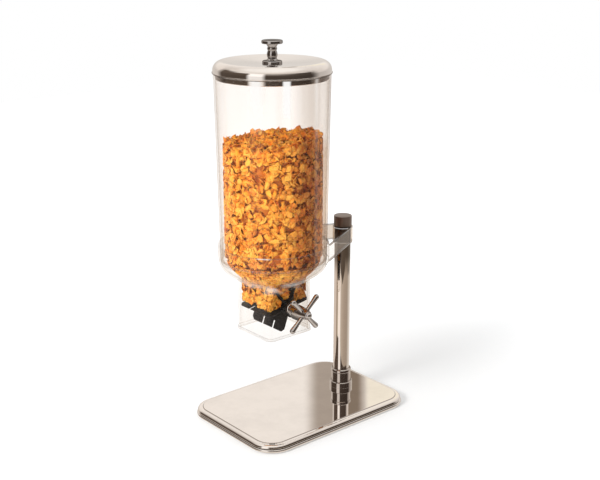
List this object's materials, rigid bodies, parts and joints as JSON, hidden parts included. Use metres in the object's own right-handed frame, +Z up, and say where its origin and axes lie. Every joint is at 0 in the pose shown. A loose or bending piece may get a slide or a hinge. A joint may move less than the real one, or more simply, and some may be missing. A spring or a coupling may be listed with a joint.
{
  "type": "cereal dispenser",
  "caption": "Countertop cereal dispenser: clear container on a swivelling hopper with a hand-turned portion wheel, over a steel stand with room for a bowl.",
  "frame": {"origin": "on the table, under the centre of the rectangular base", "axes": "+Z up, -Y towards the user and the chute, +Y towards the post, +X towards the portion handle"},
  "size_m": [0.202, 0.292, 0.5795],
  "materials": {
    "polished_steel": "polished",
    "plate_steel": "satin",
    "turned_steel": "polished",
    "hardware_steel": "satin",
    "knob_metal": "satin",
    "clear_plastic": "gloss",
    "dark_nylon": "satin",
    "white_nylon": "satin",
    "black_rubber": "matte",
    "seal_silicone": "satin",
    "chrome_plate": "polished",
    "cereal": "matte"
  },
  "bodies": {
    "stand": {"base_plate": "plate_steel", "base_tray": "polished_steel", "base_gasket": "black_rubber", "base_feet": "black_rubber", "base_screws": "hardware_steel", "post_stiffener": "hardware_steel", "post_flange": "turned_steel", "post_ferrule": "turned_steel", "post_tube": "polished_steel", "post_spigot": "hardware_steel", "tie_rod": "hardware_steel", "tie_washer": "hardware_steel", "tie_nut": "hardware_steel"},
    "knob_washer": {"cap_washer": "white_nylon"},
    "knob": {"post_cap": "knob_metal"},
    "hopper": {"hopper": "clear_plastic", "bracket_bush": "dark_nylon", "chute_bushes": "white_nylon", "container_seal": "seal_silicone", "cereal_throat": "cereal"},
    "portion_wheel": {"drive_shaft": "hardware_steel", "wheel_core": "dark_nylon", "wheel_vanes": "black_rubber", "shaft_clip": "hardware_steel", "shaft_washers": "white_nylon", "handle_hub": "chrome_plate", "handle_spokes": "chrome_plate", "handle_end_cap": "chrome_plate", "handle_grub_screw": "hardware_steel", "cereal_pockets": "cereal"},
    "container": {"container": "clear_plastic", "cereal_column": "cereal"},
    "lid": {"lid_shell": "polished_steel", "lid_plug": "polished_steel", "lid_gasket": "seal_silicone", "lid_knob": "chrome_plate", "lid_screw": "hardware_steel", "lid_washer": "hardware_steel"}
  },
  "joints": [
    {"name": "hopper_swivel", "type": "hinge", "parent": "stand", "child": "hopper", "pos_m": [0, 0.0865, 0.27], "axis": [0, 0, 1], "range_deg": [-60, 60]},
    {"name": "wheel_turn", "type": "hinge", "parent": "hopper", "child": "portion_wheel", "pos_m": [0, -0.0518, 0.191], "axis": [1, 0, 0], "continuous": true},
    {"name": "container_lift", "type": "slide", "parent": "hopper", "child": "container", "axis": [0, 0, 1], "range_m": [0, 0.15]},
    {"name": "lid_lift", "type": "slide", "parent": "container", "child": "lid", "axis": [0, 0, 1], "range_m": [0, 0.1]},
    {"name": "knob_rise", "type": "slide", "parent": "stand", "child": "knob_washer", "axis": [0, 0, 1], "range_m": [0, 0.003]},
    {"name": "knob_turn", "type": "hinge", "parent": "knob_washer", "child": "knob", "pos_m": [0, 0.0865, 0.29], "axis": [0, 0, 1], "range_deg": [0, 720]}
  ],
  "couplings": [
    {"joint": "knob_turn", "follows": "knob_rise", "rad_per_m": 4188.8}
  ]
}
